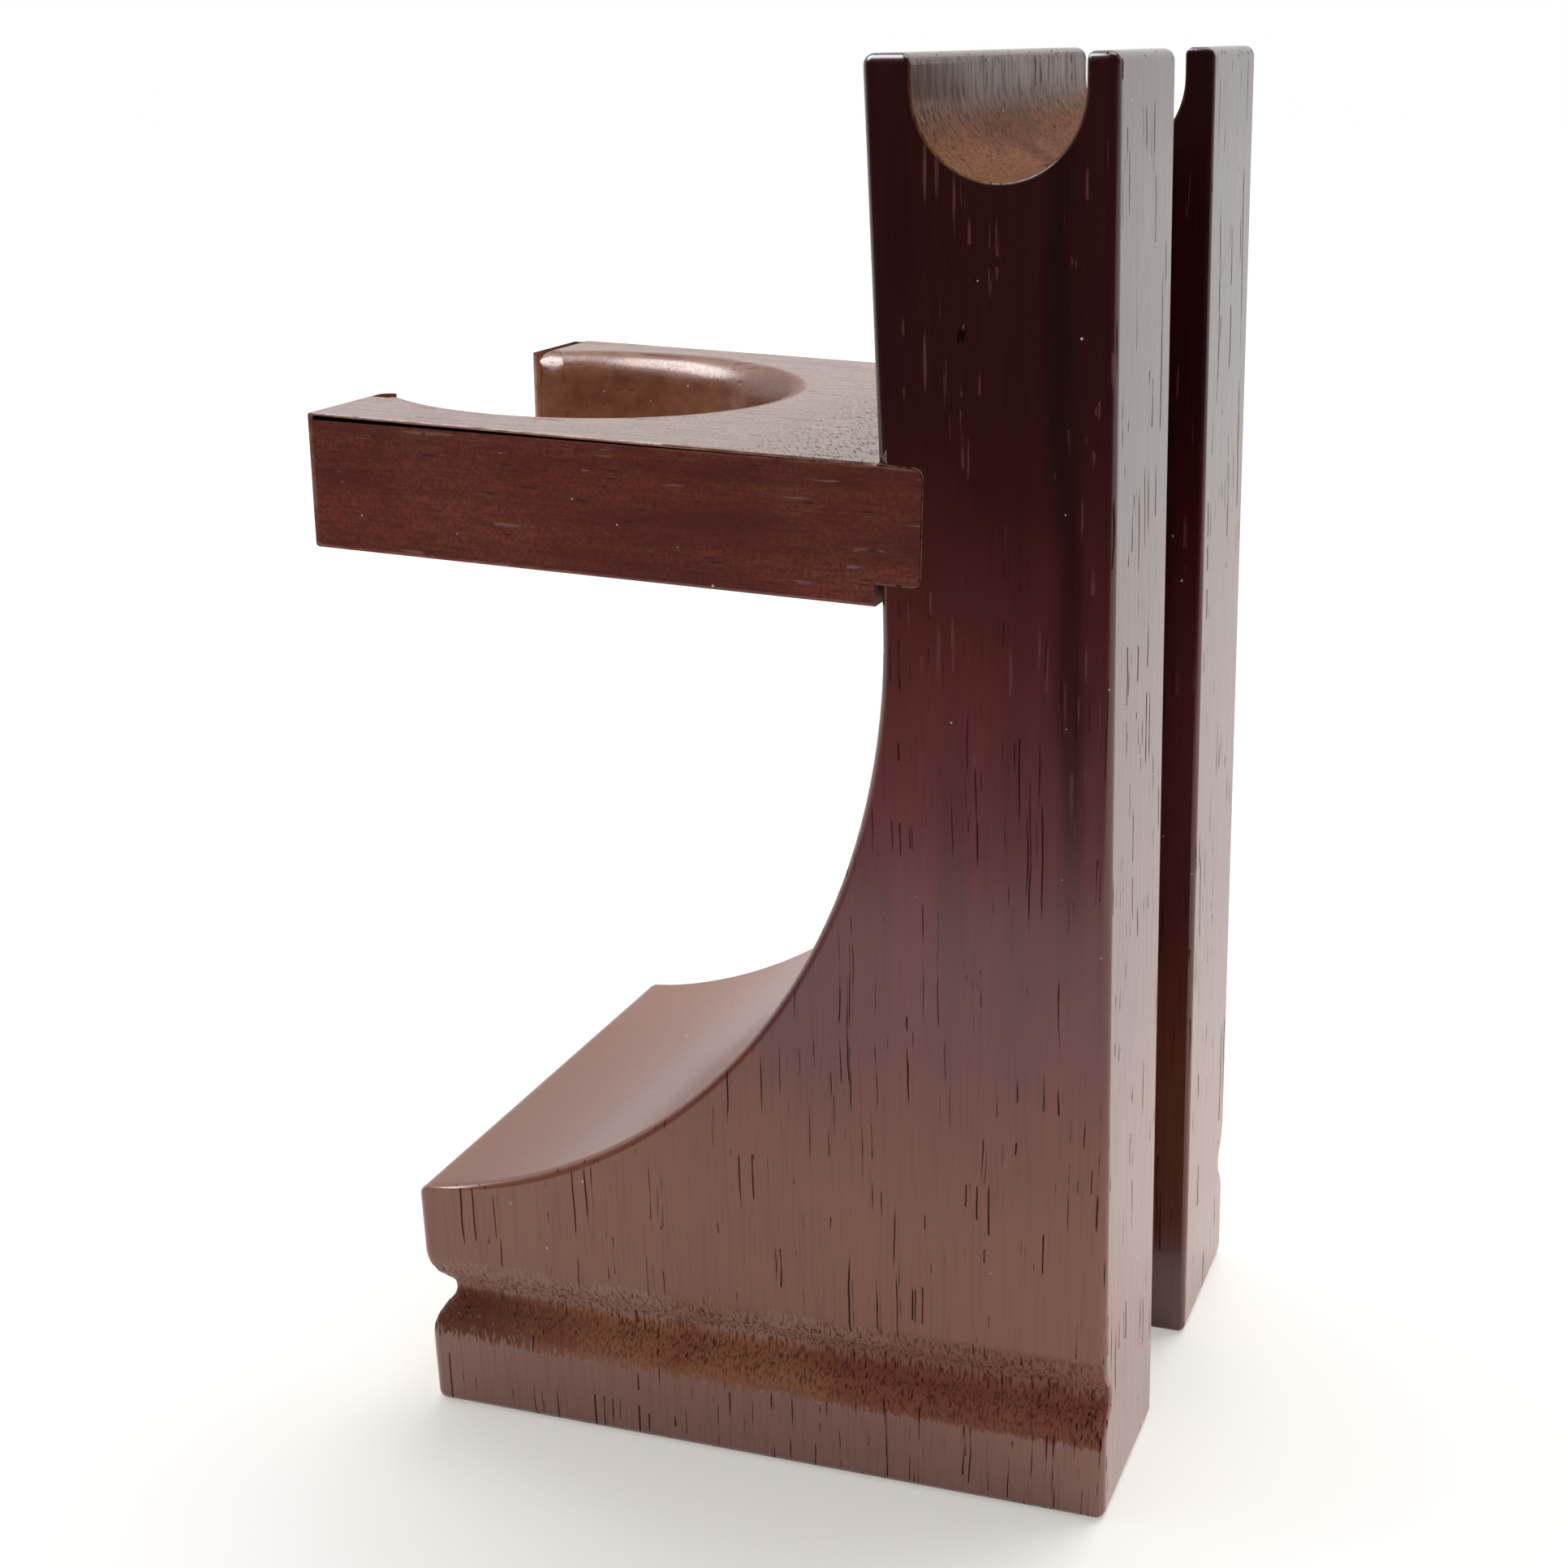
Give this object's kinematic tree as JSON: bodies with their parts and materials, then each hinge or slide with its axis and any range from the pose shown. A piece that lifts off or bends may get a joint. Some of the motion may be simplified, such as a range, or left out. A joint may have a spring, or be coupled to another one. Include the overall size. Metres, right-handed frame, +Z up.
{
  "type": "razor stand",
  "caption": "Wooden stand with a grooved foot and concave post, slotted at the back and channelled on top for a razor, with a C-shaped fork for a shaving brush.",
  "frame": {"origin": "middle of the bounding box in plan, on the surface the foot rests on", "axes": "+Z up along the post; the brush fork reaches towards -Y and the razor slot opens towards +Y; X runs across the stand, along the razor channel"},
  "size_m": [0.0508, 0.071, 0.124],
  "materials": {
    "body_wood": "dark red-brown stain under satin lacquer, grain upright",
    "fork_wood": "dark red-brown stain under satin lacquer, grain along the fork"
  },
  "bodies": {
    "root": {"body": "body_wood", "brush_fork": "fork_wood"}
  },
  "joints": []
}
